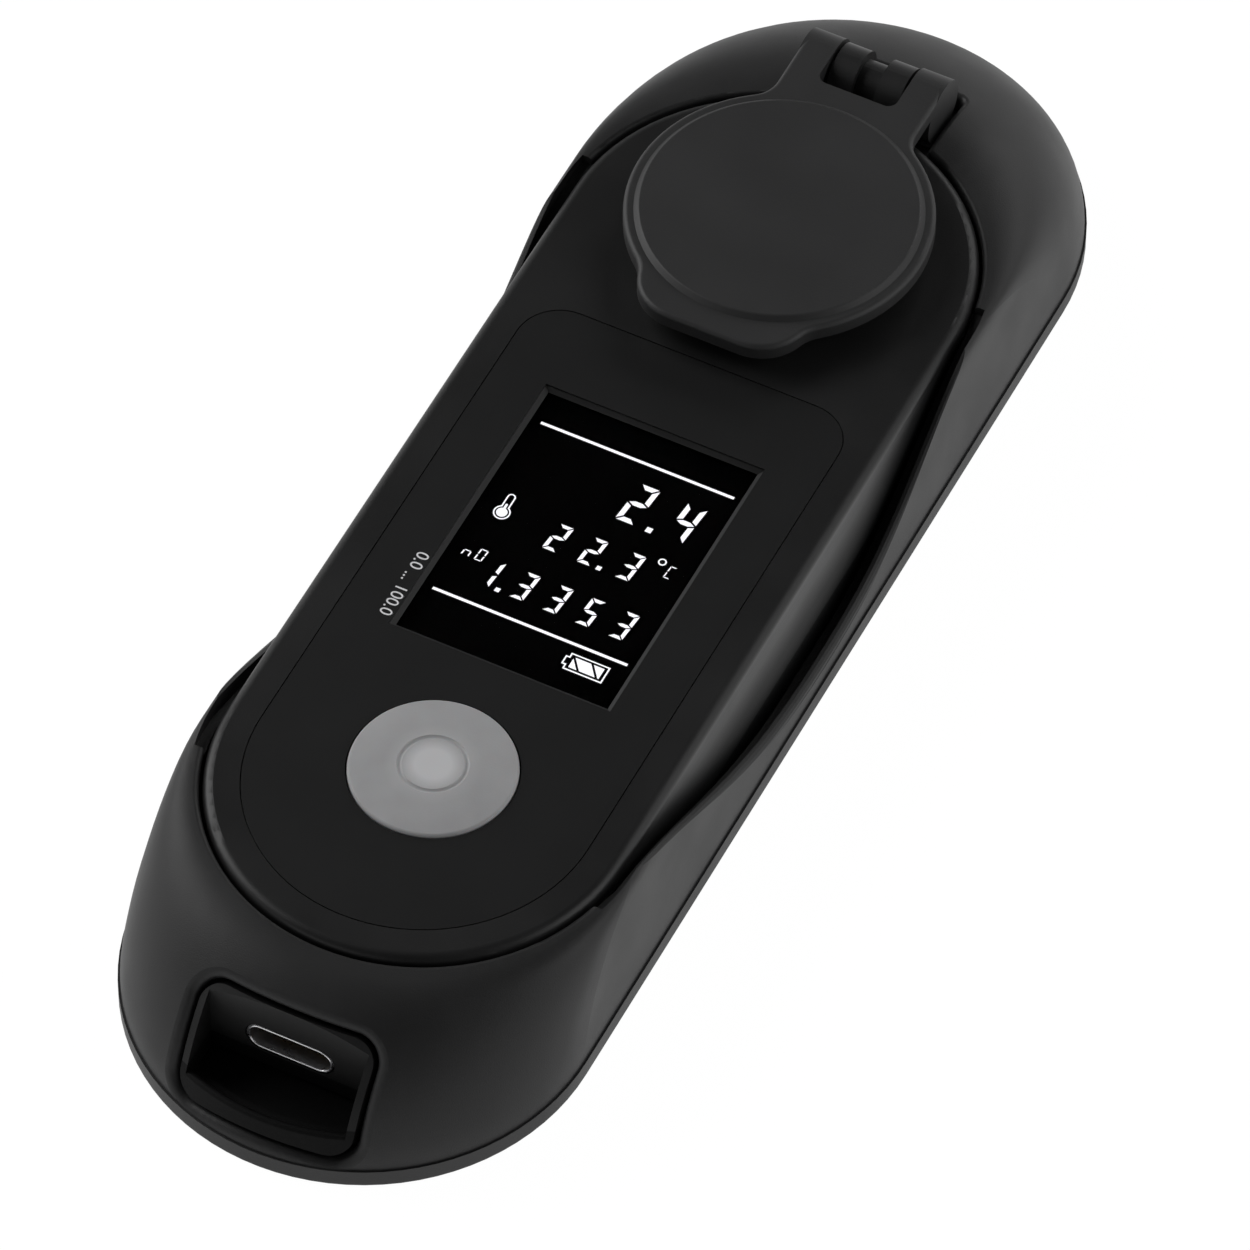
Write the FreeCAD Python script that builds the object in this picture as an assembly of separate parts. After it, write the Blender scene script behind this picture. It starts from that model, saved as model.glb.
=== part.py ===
# Handheld digital refractometer with a flip cap, in a flared rubber boot.
# Millimetres. X runs across the face, Y runs along it towards the cap's hinge and Z points up.
# The origin is the middle of the boot's flat base.

import FreeCAD, Part
import math
import os

os.makedirs("parts", exist_ok=True)
Vec = FreeCAD.Vector

# Overall form: the flat face is a stadium, and both ends flare out towards the base
face_height = 16.9
face_radius = 20.4
face_low_y = -39.1
face_high_y = 31.8
face_edge_round = 1.0
boot_length = 148.0
base_radius = 22.85
low_flare_power = 1.6
high_flare_power = 1.75

# Rubber boot
crest_drop = 0.3
crest_radius = 22.15
rim_round = 0.9
inner_rim_round = 0.5
waist_rim_round = 0.8
waist_rim_inset = 0.28
groove_width = 1.0
groove_depth = 2.0
skirt_height = 2.3
skirt_proud = 0.2
skirt_round = 0.5
boot_wall = 1.7
boot_gap = 0.3
boot_floor = 2.2

# Housing
wall = 1.8
face_thickness = 2.0
housing_floor = 1.6
parting_height = 6.2
side_draft = 0.4
seal_width = 0.7
seal_height = 0.6
fit_gap = 0.05
tolerance = 1e-3

# Housing and board screws
screw_x = 12.6
low_screw_inset = 18.5
high_screw_to_hinge = 2.9
boss_radius = 2.5
boss_top = 12.4
screw_shank_radius = 1.0
screw_head_radius = 1.9
screw_head_height = 1.3
screw_drive_radius = 0.8
screw_length = 7.0
post_radius = 2.0
post_to_window = 5.55
board_screw_radius = 0.8
board_screw_head_radius = 1.5
board_screw_head_height = 0.8
board_screw_drive_radius = 0.6
board_screw_length = 3.2

# Face film and display
film_thickness = 0.2
film_half_width = 16.84
film_top_margin = 9.55
film_corner = 4.4
film_edge_gap = 0.12
window_width = 22.0
window_length = 31.3
window_to_key = 29.5
window_sink = 0.5
bevel = 0.5
glass_thickness = 0.8
glass_margin = 1.0
lcd_thickness = 1.4
lcd_margin = 0.9
lcd_air_gap = 0.05
backlight_thickness = 1.0
tray_wall = 0.8
tray_web = 0.7

# Key and its switch
key_radius = 7.96
key_to_face_end = 1.8
key_gap = 0.15
key_edge_rise = 0.3
key_edge_round = 0.35
key_dome = 0.45
key_dome_bulge = 0.05
key_dimple_radius = 2.9
key_ring_width = 0.5
key_ring_depth = 0.15
key_skin = 1.3
key_flange = 0.9
key_flange_thickness = 0.8
key_stem_radius = 1.9
key_travel = 0.4
switch_size = 6.0
switch_height = 2.1
switch_corner = 0.4
plunger_radius = 1.7
plunger_length = 1.8
plunger_rise = 0.6
plunger_gap = 0.08

# Charging port and the pocket round it
port_height = 8.2
port_width = 8.94
port_thickness = 3.26
port_shell_wall = 0.3
port_length = 7.4
port_recess = 0.1
port_gap = 0.12
port_ear = 1.1
port_ear_thickness = 0.3
port_insert = 1.7
tongue_width = 6.6
tongue_thickness = 0.7
tongue_length = 4.6
tongue_round = 0.3
pocket_half_width = 8.2
pocket_inset = 8.0
pocket_frame = 0.7
pocket_sink = 0.5
port_window_edge_inset = 7.6
port_window_top = 13.9
port_window_height = 11.9
port_window_tilt = 30.0
port_window_corner = 2.5
port_window_round = 0.9
trough_low = 3.9
trough_undercut = 1.0
trough_ledge = 4.6
trough_skin = 2.1
wall_foot = 4.4
lip_top = 5.5
lip_thickness = 1.0
lip_round = 0.4

# Main board, battery and cable
board_thickness = 1.2
board_half_width = 15.0
board_to_optics = 2.7
board_low_radius = 15.8
board_low_inset = 12.8
battery_half_width = 10.5
battery_low_y = -36.0
battery_length = 46.0
battery_round = 1.5
battery_pad_thickness = 0.4
battery_headroom = 0.5
flex_width = 4.0
flex_thickness = 0.2
flex_overlap = 3.5
flex_leg_width = 2.4
flex_gap = 0.3
connector_length = 1.4
connector_height = 0.8
coil_radius = 2.0
coil_height = 1.6
# Places on the board are measured in Y from the back of the charging port
coil_places = [(-8.0, 9.6), (-8.0, 15.0)]
# Each chip's middle x and y, width, length and height
board_chips = [
    (0.0, 6.6, 7.0, 7.0, 1.0),
    (7.8, 9.8, 3.5, 3.5, 0.8),
    (12.0, 15.6, 3.2, 2.0, 0.7),
]

# Sample well and optics
well_to_hinge = 20.7
dish_radius = 10.6
dish_rim_thickness = 0.9
dish_proud = 0.15
dish_rim_round = 0.2
dish_bowl_radius = 9.6
dish_collar_radius = 8.6
dish_depth = 2.4
dish_collar_height = 2.0
gasket_width = 1.2
gasket_thickness = 0.5
prism_radius = 5.0
prism_drop = 4.6
prism_top_half = 4.4
prism_foot_half = 1.9
prism_half_width = 3.6
optics_half_width = 9.0
optics_half_length = 12.5
optics_gap = 0.1
beam_angle = 15.0
beam_radius = 2.2
led_radius = 2.5
led_length = 5.2
led_distance = 3.6
lens_radius = 2.4
lens_thickness = 1.4
lens_distance = 1.6
side_board_thickness = 1.0
side_board_half_width = 8.0
side_board_low = 4.4
sensor_half_width = 4.5
sensor_height = 4.0
sensor_thickness = 1.2
probe_radius = 0.9
probe_length = 3.0
probe_x = 6.8

# Flip cap and its hinge
cap_radius = 14.9
cap_top = 3.8
cap_plate = 1.7
cap_edge_round = 0.5
plateau_radius = 13.9
plateau_rise = 0.45
plateau_bevel = 0.5
plateau_round = 0.25
tab_half_width = 8.8
tab_reach = 16.5
tab_thickness = 2.7
tab_inset = 1.0
tab_corner = 5.0
tab_blend = 4.0
arm_half_width = 7.4
arm_slot_half_width = 4.1
arm_slot_to_hinge = 4.4
arm_slot_corner = 1.0
arm_blend = 3.0
ear_radius = 3.3
ear_gap = 0.4
ear_skin = 0.9
hinge_to_face_end = 23.6
pin_radius = 0.75
pin_running_gap = 0.05
pin_fit_gap = 0.02
pin_sink = 0.3
knuckle_radius = 3.1
knuckle_gap = 0.35
knuckle_root = 1.1
knuckle_groove_half_width = 1.2
knuckle_groove_depth = 0.8
notch_gap = 0.45
notch_back = 0.9
notch_corner = 0.8
pad_radius = 12.2
pad_ring_width = 0.8
pad_ring_height = 0.15
pad_gap = 0.3

# The boot's dip at the waist, as height over the base along Y
dip_points = [
    (-44.5, 17.6),
    (-32.4, 14.2),
    (-23.0, 9.8),
    (-12.5, 6.0),
    (0.5, 4.7),
    (10.5, 6.0),
    (19.5, 10.4),
    (27.0, 15.0),
    (35.5, 17.6),
]

# Levels and places worked out from the sizes above
crest_height = face_height - crest_drop
flare_height = crest_height - skirt_height
shoulder_height = crest_height - boot_wall
face_under = face_height - face_thickness
cavity_floor = boot_floor + housing_floor
above_all = 2 * face_height
low_end_y = -boot_length / 2
low_reach = face_low_y - base_radius - low_end_y
high_reach = boot_length / 2 - base_radius - face_high_y
hinge_height = face_height + cap_top - ear_radius
hinge_y = face_high_y + hinge_to_face_end
arm_slot_y = hinge_y - arm_slot_to_hinge
well_y = hinge_y - well_to_hinge
key_y = face_low_y + key_to_face_end
window_y = key_y + window_to_key
window_half_x = window_width / 2
window_half_y = window_length / 2
film_top_y = window_y + window_half_y + film_top_margin
pocket_back_y = low_end_y + pocket_inset
pocket_inner_y = pocket_back_y + trough_undercut + wall
port_window_edge_y = low_end_y + port_window_edge_inset
port_mouth_y = pocket_back_y + port_recess
port_back_y = port_mouth_y + port_length
board_low = port_height + port_thickness / 2
board_top = board_low + board_thickness
board_low_centre_y = low_end_y + board_low_inset + board_low_radius
dish_top = face_height + dish_proud
dish_seat = dish_top - dish_rim_thickness
bowl_bottom = dish_top - dish_depth
collar_bottom = bowl_bottom - dish_collar_height
optics_low_y = well_y - optics_half_length
optics_high_y = well_y + optics_half_length
board_high_y = optics_low_y - board_to_optics
beam_y = (prism_top_half + prism_foot_half) / 2
beam_z = collar_bottom - prism_drop / 2
sensor_z = beam_z - math.tan(math.radians(beam_angle)) * (optics_half_length - beam_y)
glass_top = face_height - window_sink
glass_low = glass_top - glass_thickness
panel_low = glass_low - lcd_air_gap - lcd_thickness
key_flange_top = face_under - fit_gap
key_flange_low = key_flange_top - key_flange_thickness
switch_top = board_top + switch_height
plunger_top = switch_top + plunger_rise
screw_seat = boot_floor + screw_head_height
cap_low = face_height + cap_top - cap_plate


def flare(share, power):
    """How far out a round end has moved, from 0 at the crest to 1 at the foot."""
    share = min(max(share, 0.0), 1.0)
    return (1 - (1 - share) ** power) ** (1 / power)


def end_centres(share):
    """Y of the two round ends' centres at a share of the flare's height."""
    low_y = face_low_y - low_reach * flare(share, low_flare_power)
    high_y = face_high_y + high_reach * flare(share, high_flare_power)
    return low_y, high_y


def stadium(radius, low_y, high_y, z):
    """Outline with straight sides and round ends."""
    high_arc = Part.Arc(Vec(radius, high_y, z), Vec(0, high_y + radius, z), Vec(-radius, high_y, z))
    low_arc = Part.Arc(Vec(-radius, low_y, z), Vec(0, low_y - radius, z), Vec(radius, low_y, z))
    left = Part.LineSegment(Vec(-radius, high_y, z), Vec(-radius, low_y, z))
    right = Part.LineSegment(Vec(radius, low_y, z), Vec(radius, high_y, z))
    return Part.Wire([high_arc.toShape(), left.toShape(), low_arc.toShape(), right.toShape()])


def upright(wire, height):
    """Solid that stands on a closed level outline."""
    return Part.Face(wire).extrude(Vec(0, 0, height))


def block(x_low, x_high, y_low, y_high, z_low, z_high):
    return Part.makeBox(x_high - x_low, y_high - y_low, z_high - z_low, Vec(x_low, y_low, z_low))


def post(radius, x, y, z_low, z_high):
    return Part.makeCylinder(radius, z_high - z_low, Vec(x, y, z_low))


def rod_across(radius, y, z, x_low, x_high):
    return Part.makeCylinder(radius, x_high - x_low, Vec(x_low, y, z), Vec(1, 0, 0))


def upright_edges(shape, at_y=None):
    """Edges that run along Z, all of them or those at one Y."""
    found = []
    for edge in shape.Edges:
        box = edge.BoundBox
        if box.ZLength < tolerance or box.XLength + box.YLength > tolerance:
            continue
        if at_y is None or abs(box.Center.y - at_y) < tolerance:
            found.append(edge)
    return found


def level_edges(shape, z):
    """Edges that lie in the level plane at z."""
    found = []
    for edge in shape.Edges:
        box = edge.BoundBox
        if abs(box.ZMin - z) < tolerance and abs(box.ZMax - z) < tolerance:
            found.append(edge)
    return found


def rounded_block(x_low, x_high, y_low, y_high, z_low, z_high, corner):
    shape = block(x_low, x_high, y_low, y_high, z_low, z_high)
    return shape.makeFillet(corner, upright_edges(shape))


def flared_solid(top_radius, foot_radius, start_z, low_z, top_z, edge_round=0.0):
    """Stadium body whose ends flare out below start_z, with upright walls above it.

    edge_round rolls the long sides in towards start_z as a quarter round.
    """
    steps = range(8)
    end_share = min((start_z - low_z) / flare_height, 1.0)
    end_angle = math.acos(1 - end_share)
    outlines = []
    for index in steps:
        share = 1 - math.cos(end_angle * index / steps[-1])
        z = start_z - share * flare_height
        radius = top_radius + (foot_radius - top_radius) * share
        left_to_roll = max(edge_round - (start_z - z), 0.0)
        radius -= edge_round - math.sqrt(edge_round ** 2 - left_to_roll ** 2)
        low_y, high_y = end_centres(share)
        outlines.append(stadium(radius, low_y, high_y, z))
    solid = Part.makeLoft(outlines, True, False)
    if top_z > start_z:
        neck = upright(stadium(top_radius, face_low_y, face_high_y, start_z), top_z - start_z)
        solid = solid.fuse(neck)
    return solid


def save(shape, name):
    shape.exportStep("parts/" + name + ".step")


# Outer and inner forms shared by the boot and the housing


def make_boot_outside():
    """Flared body on a slightly proud upright skirt."""
    foot_radius = base_radius - skirt_proud
    body = flared_solid(crest_radius, foot_radius, crest_height, skirt_height, crest_height, rim_round)
    foot_low_y, foot_high_y = end_centres(1)
    skirt = upright(stadium(base_radius, foot_low_y, foot_high_y, 0), skirt_height)
    skirt = skirt.makeFillet(skirt_round, level_edges(skirt, 0))
    return body.fuse(skirt)


def make_boot_inside():
    """Space that the housing fills, with the fit gap round it."""
    top_radius = face_radius + boot_gap
    start = shoulder_height + boot_gap
    return flared_solid(top_radius, top_radius - side_draft, start, boot_floor, above_all)


def make_housing_outside():
    foot_radius = face_radius - side_draft
    body = flared_solid(face_radius, foot_radius, shoulder_height, boot_floor, face_height)
    return body.makeFillet(face_edge_round, level_edges(body, face_height))


def make_housing_cavity():
    radius = face_radius - wall
    start = shoulder_height - wall
    return flared_solid(radius, radius - side_draft, start, cavity_floor, face_under)


def dip_outline(x, drop=0.0):
    """Outline across X of all that lies above the waist's crest line, lowered by drop."""
    curve = Part.BSplineCurve()
    curve.interpolate([Vec(x, y, z - drop) for y, z in dip_points])
    low_end = curve.StartPoint
    high_end = curve.EndPoint
    low_top = Vec(x, low_end.y, above_all)
    high_top = Vec(x, high_end.y, above_all)
    sides = [curve.toShape()]
    for start, end in ((high_end, high_top), (high_top, low_top), (low_top, low_end)):
        sides.append(Part.LineSegment(start, end).toShape())
    return Part.Wire(sides)


def make_dip_cutter(drop=0.0):
    outline = dip_outline(-base_radius, drop)
    return Part.Face(outline).extrude(Vec(2 * base_radius, 0, 0))


def make_rim_roll(side):
    """Cutter that rolls the waist's rim down towards the boot's outside, on the side -1 or 1."""
    steps = range(5)
    start_x = base_radius - waist_rim_inset - waist_rim_round
    outlines = []
    for index in steps:
        angle = math.pi / 2 * index / steps[-1]
        drop = waist_rim_round * (1 - math.cos(angle))
        outlines.append(dip_outline(side * (start_x + waist_rim_round * math.sin(angle)), drop))
    outlines.append(dip_outline(side * (base_radius + waist_rim_round), 3 * waist_rim_round))
    return Part.makeLoft(outlines, True, True)


def make_window_block(grow):
    """Block with rounded long edges that leans up and out through the boot's low end."""
    half = pocket_half_width + pocket_frame + grow
    shape = block(-half, half, -base_radius, base_radius, -port_window_height - grow, grow)
    edges = [edge for edge in shape.Edges if edge.BoundBox.YLength > base_radius]
    shape = shape.makeFillet(port_window_corner + grow, edges)
    shape.rotate(Vec(0, 0, 0), Vec(1, 0, 0), -port_window_tilt)
    shape.translate(Vec(0, port_window_edge_y, port_window_top))
    low_z = boot_floor + 2 * boot_gap - grow
    room = block(-base_radius, base_radius, -boot_length, pocket_inner_y + grow, low_z, above_all)
    return shape.common(room)


def make_inset_body(inset):
    """The boot's outer form made smaller all round."""
    top_z = crest_height - pocket_sink
    return flared_solid(crest_radius - inset, base_radius - inset, top_z, skirt_height, top_z)


def make_port_boss():
    """Block on the housing's low end that ends just under the boot's surface."""
    return make_window_block(0).common(make_inset_body(pocket_sink))


def port_outline(grow, y):
    """Rounded slot outline of the charging port, in a plane across Y."""
    half_height = port_thickness / 2 + grow
    half_width = port_width / 2 + grow
    straight = half_width - half_height
    high = port_height + half_height
    low = port_height - half_height
    right = Part.Arc(Vec(straight, y, high), Vec(half_width, y, port_height), Vec(straight, y, low))
    left = Part.Arc(Vec(-straight, y, low), Vec(-half_width, y, port_height), Vec(-straight, y, high))
    top = Part.LineSegment(Vec(-straight, y, high), Vec(straight, y, high))
    bottom = Part.LineSegment(Vec(straight, y, low), Vec(-straight, y, low))
    return Part.Wire([top.toShape(), right.toShape(), bottom.toShape(), left.toShape()])


def port_slug(grow, y_low, y_high):
    return Part.Face(port_outline(grow, y_low)).extrude(Vec(0, y_high - y_low, 0))


def seal_ring(width, half_height):
    """Strip along the middle of the housing's wall at the parting plane, open at the pocket."""
    share = (shoulder_height - parting_height) / flare_height
    low_y, high_y = end_centres(share)
    middle = face_radius - side_draft * share - wall / 2
    base = parting_height - half_height
    outer = upright(stadium(middle + width / 2, low_y, high_y, base), 2 * half_height)
    inner = upright(stadium(middle - width / 2, low_y, high_y, base), 2 * half_height)
    half = pocket_half_width + pocket_frame + wall - width
    return outer.cut(inner).cut(block(-half, half, -boot_length, face_low_y, 0, above_all))


def screw_places():
    low_y = low_end_y + low_screw_inset
    high_y = hinge_y - high_screw_to_hinge
    return [(x, y) for x in (-screw_x, screw_x) for y in (low_y, high_y)]


def post_places():
    low_y = window_y - window_half_y - post_to_window
    high_y = window_y + window_half_y + post_to_window
    return [(x, y) for x in (-screw_x, screw_x) for y in (low_y, high_y)]


def window_block(margin, z_low, z_high):
    """Block the size of the display window, grown by a margin all round."""
    half_x = window_half_x + margin
    half_y = window_half_y + margin
    return block(-half_x, half_x, window_y - half_y, window_y + half_y, z_low, z_high)


def window_rectangle(margin, z):
    half_x = window_half_x + margin
    low_y = window_y - window_half_y - margin
    high_y = window_y + window_half_y + margin
    corners = [(-half_x, low_y), (half_x, low_y), (half_x, high_y), (-half_x, high_y), (-half_x, low_y)]
    return Part.makePolygon([Vec(x, y, z) for x, y in corners])


def film_solid(grow, z_low, z_high):
    """Film blank: round at the low end, rounded corners at the high end."""
    half = film_half_width + grow
    low_part = post(half, 0, face_low_y, z_low, z_high)
    high_part = block(-half, half, face_low_y, film_top_y + grow, z_low, z_high)
    high_part = high_part.makeFillet(film_corner + grow, upright_edges(high_part, film_top_y + grow))
    return high_part.fuse(low_part).removeSplitter()


def beam(radius, side, distance, length):
    """Rod along the light path, from a distance off the prism's slanted face.

    side is -1 for the lamp's half and 1 for the sensor's half.
    """
    angle = math.radians(beam_angle)
    along = Vec(0, side * math.cos(angle), -math.sin(angle))
    start = Vec(0, well_y + side * beam_y, beam_z) + along * distance
    return Part.makeCylinder(radius, length, start, along)


# Rubber boot


def make_hinge_notch():
    half = arm_half_width + notch_gap
    low_z = hinge_height - ear_radius - ear_gap - boot_wall
    high_y = hinge_y + ear_radius + notch_back
    return rounded_block(-half, half, face_high_y, high_y, low_z, above_all, notch_corner)


def rim_edges(shape, outside, cutter):
    """Edges where a cutter has broken through the outside."""
    found = []
    for edge in shape.Edges:
        middle = Part.Vertex(edge.valueAt((edge.FirstParameter + edge.LastParameter) / 2))
        on_outside = outside.Shells[0].distToShape(middle)[0] < tolerance
        if on_outside and cutter.Shells[0].distToShape(middle)[0] < tolerance:
            found.append(edge)
    return found


def make_rubber_boot():
    """Outer form with rounded openings, hollowed for the housing, with a groove along the waist."""
    outside = make_boot_outside()
    boot = outside.cut(make_dip_cutter()).cut(make_rim_roll(-1)).cut(make_rim_roll(1))
    window = make_window_block(boot_gap)
    boot = boot.cut(window)
    boot = boot.makeFillet(port_window_round, rim_edges(boot, outside, window))
    boot = boot.cut(make_boot_inside())
    inner_radius = face_radius + boot_gap
    inner_edges = []
    for edge in level_edges(boot, crest_height):
        if edge.BoundBox.XMax < inner_radius + tolerance and edge.BoundBox.XLength > inner_radius:
            inner_edges.append(edge)
    boot = boot.makeFillet(inner_rim_round, inner_edges)
    groove = upright(stadium(inner_radius + groove_width, face_low_y, face_high_y, 0), above_all)
    boot = boot.cut(make_dip_cutter(groove_depth).common(groove))
    notch = make_hinge_notch()
    boot = boot.cut(notch)
    return boot.makeFillet(inner_rim_round, rim_edges(boot, outside, notch))


save(make_rubber_boot(), "rubber_boot")


# Upper housing: face, port boss, screw bosses, board posts and hinge knuckle


def make_knuckle():
    half = arm_slot_half_width - knuckle_gap
    barrel = rod_across(knuckle_radius, hinge_y, hinge_height, -half, half)
    web_low = shoulder_height - knuckle_root
    web = block(-half, half, hinge_y - knuckle_radius, hinge_y + knuckle_radius, web_low, hinge_height)
    groove_half = knuckle_groove_half_width
    ring = rod_across(knuckle_radius * 2, hinge_y, hinge_height, -groove_half, groove_half)
    core_radius = knuckle_radius - knuckle_groove_depth
    ring = ring.cut(rod_across(core_radius, hinge_y, hinge_height, -groove_half, groove_half))
    upper_half = block(-groove_half, groove_half, 0, boot_length, hinge_height, above_all)
    return barrel.fuse(web).cut(ring.common(upper_half))


def make_ear_swings():
    """Space on both sides of the knuckle that the cap's ears turn in."""
    inner = arm_slot_half_width - knuckle_gap
    outer = arm_half_width + knuckle_gap
    radius = ear_radius + ear_gap
    left = rod_across(radius, hinge_y, hinge_height, -outer, -inner)
    return left.fuse(rod_across(radius, hinge_y, hinge_height, inner, outer))


def make_upper_housing():
    outside = make_housing_outside()
    above_parting = block(-boot_length, boot_length, -boot_length, boot_length, parting_height, above_all)
    solid = outside.fuse(make_port_boss())
    half = pocket_half_width + pocket_frame
    back_wall = block(-half, half, pocket_back_y, pocket_inner_y, parting_height, face_under)
    shell = solid.cut(make_housing_cavity()).fuse(back_wall.common(solid))
    for x, y in screw_places():
        shell = shell.fuse(post(boss_radius, x, y, parting_height, boss_top).common(outside))
    shell = shell.common(above_parting)
    for x, y in post_places():
        shell = shell.fuse(post(post_radius, x, y, board_top, face_under + fit_gap))
    half = pocket_half_width
    shell = shell.cut(block(-half, half, -boot_length, pocket_back_y, parting_height, above_all))
    shell = shell.cut(make_ear_swings()).fuse(make_knuckle())
    under = face_under - fit_gap
    bevel_low = window_rectangle(0, glass_top)
    bevel_high = window_rectangle(bevel, face_height - film_thickness)
    holes = [
        port_slug(port_gap, pocket_back_y, pocket_inner_y),
        seal_ring(seal_width + 2 * fit_gap, seal_height / 2 + fit_gap),
        film_solid(film_edge_gap, face_height - film_thickness, above_all),
        window_block(glass_margin + fit_gap, under, glass_top),
        Part.makeLoft([bevel_low, bevel_high], True, True),
        post(key_radius + key_gap, 0, key_y, under, above_all),
        post(dish_collar_radius + fit_gap, 0, well_y, under, above_all),
        post(dish_radius + fit_gap, 0, well_y, dish_seat, above_all),
        post(dish_collar_radius + gasket_width, 0, well_y, dish_seat - gasket_thickness, above_all),
        rod_across(pin_radius + pin_fit_gap, hinge_y, hinge_height, -arm_half_width, arm_half_width),
    ]
    for x, y in screw_places():
        pilot_top = screw_seat + screw_length + 2 * fit_gap
        holes.append(post(screw_shank_radius + pin_fit_gap, x, y, 0, pilot_top))
    for x, y in post_places():
        pilot_top = board_low + board_screw_length + 2 * fit_gap
        holes.append(post(board_screw_radius + pin_fit_gap, x, y, board_low, pilot_top))
    for hole in holes:
        shell = shell.cut(hole)
    return shell


save(make_upper_housing(), "upper_housing")


# Lower housing: tray with screw columns and the trough under the port


def make_lower_housing():
    outside = make_housing_outside()
    below_parting = block(-boot_length, boot_length, -boot_length, boot_length, 0, parting_height)
    tray = outside.cut(make_housing_cavity())
    for x, y in screw_places():
        tray = tray.fuse(post(boss_radius, x, y, boot_floor, parting_height).common(outside))
    tray = tray.fuse(make_port_boss()).common(below_parting)
    half = pocket_half_width
    tray = tray.cut(block(-half, half, -boot_length, pocket_back_y, lip_top, above_all))
    ledge = block(-half, half, -boot_length, pocket_back_y, trough_ledge, above_all)
    tray = tray.cut(ledge.common(make_inset_body(pocket_sink + lip_thickness)))
    undercut_y = pocket_back_y + trough_undercut
    trough = block(-half, half, -boot_length, pocket_back_y, trough_low, above_all)
    trough = trough.fuse(block(-half, half, -boot_length, undercut_y, trough_low, wall_foot))
    tray = tray.cut(trough.common(make_inset_body(pocket_sink + trough_skin)))
    lip_edges = [edge for edge in level_edges(tray, lip_top) if edge.BoundBox.XLength > pocket_half_width]
    tray = tray.makeFillet(lip_round, lip_edges)
    tray = tray.cut(seal_ring(seal_width + 2 * fit_gap, seal_height / 2 + fit_gap))
    for x, y in screw_places():
        tray = tray.cut(post(screw_shank_radius + fit_gap, x, y, 0, above_all))
        tray = tray.cut(post(screw_head_radius + 2 * fit_gap, x, y, 0, screw_seat))
    return tray


save(make_lower_housing(), "lower_housing")
save(seal_ring(seal_width, seal_height / 2), "housing_seal")


# Fasteners


def make_screw(x, y, seat_z, head_radius, head_height, drive_radius, shank_radius, length):
    """Screw with its head below the seat, a round drive recess and a plain shank."""
    head = post(head_radius, x, y, seat_z - head_height, seat_z)
    recess = post(drive_radius, x, y, seat_z - head_height, seat_z - head_height / 2)
    return head.cut(recess).fuse(post(shank_radius, x, y, seat_z, seat_z + length))


def make_housing_screws():
    height = screw_head_height - fit_gap
    sizes = (screw_head_radius, height, screw_drive_radius, screw_shank_radius, screw_length)
    return Part.makeCompound([make_screw(x, y, screw_seat, *sizes) for x, y in screw_places()])


def make_board_screws():
    head = (board_screw_head_radius, board_screw_head_height, board_screw_drive_radius)
    shank = (board_screw_radius, board_screw_length)
    return Part.makeCompound([make_screw(x, y, board_low, *head, *shank) for x, y in post_places()])


save(make_housing_screws(), "housing_screws")
save(make_board_screws(), "board_screws")


# Face film and display stack


def make_face_film():
    film = film_solid(0, face_height - film_thickness, face_height)
    film = film.cut(window_block(bevel, 0, above_all))
    return film.cut(post(key_radius + key_gap, 0, key_y, 0, above_all))


def make_display_tray():
    """Frame on the board that holds the backlight and the panel under the window."""
    floor_top = panel_low - backlight_thickness
    tray = window_block(lcd_margin + fit_gap + tray_wall, board_top, face_under - fit_gap)
    tray = tray.cut(window_block(lcd_margin + fit_gap, floor_top, above_all))
    return tray.cut(window_block(lcd_margin - tray_wall, 0, floor_top - tray_web))


save(make_face_film(), "face_film")
save(window_block(glass_margin, glass_low, glass_top), "display_window")
save(window_block(lcd_margin, panel_low, panel_low + lcd_thickness), "lcd_panel")
save(window_block(lcd_margin, panel_low - backlight_thickness, panel_low), "lcd_backlight")
save(make_display_tray(), "display_tray")


# Round key with its switch and plunger


def make_key_cap():
    """Turned cap: shallow dome, faint ring and centre button above a flange and a stem."""
    edge_z = face_height + key_edge_rise
    dome_z = edge_z + key_dome
    ring_outer = key_dimple_radius + key_ring_width
    inset = key_edge_round * (1 - math.sqrt(0.5))
    edge_start = Vec(key_radius, key_y, edge_z - key_edge_round)
    edge_mid = Vec(key_radius - inset, key_y, edge_z - inset)
    edge_end = Vec(key_radius - key_edge_round, key_y, edge_z)
    dome_end = Vec(ring_outer, key_y, dome_z)
    dome_mid = Vec((edge_end.x + ring_outer) / 2, key_y, (edge_z + dome_z) / 2 + key_dome_bulge)
    ring_mid = Vec(ring_outer - key_ring_width / 2, key_y, dome_z - key_ring_depth)
    centre_edge = Vec(key_dimple_radius, key_y, dome_z)
    underside = edge_z - key_skin
    bore = key_radius - key_skin
    flange = key_radius + key_flange
    corners = [
        centre_edge,
        Vec(0, key_y, dome_z),
        Vec(0, key_y, plunger_top),
        Vec(key_stem_radius, key_y, plunger_top),
        Vec(key_stem_radius, key_y, underside),
        Vec(bore, key_y, underside),
        Vec(bore, key_y, key_flange_low),
        Vec(flange, key_y, key_flange_low),
        Vec(flange, key_y, key_flange_top),
        Vec(key_radius, key_y, key_flange_top),
        edge_start,
    ]
    sides = [Part.LineSegment(a, b).toShape() for a, b in zip(corners[:-1], corners[1:])]
    sides.append(Part.Arc(edge_start, edge_mid, edge_end).toShape())
    sides.append(Part.Arc(edge_end, dome_mid, dome_end).toShape())
    sides.append(Part.Arc(dome_end, ring_mid, centre_edge).toShape())
    return Part.Face(Part.Wire(sides)).revolve(Vec(0, key_y, 0), Vec(0, 0, 1), 360)


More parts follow.
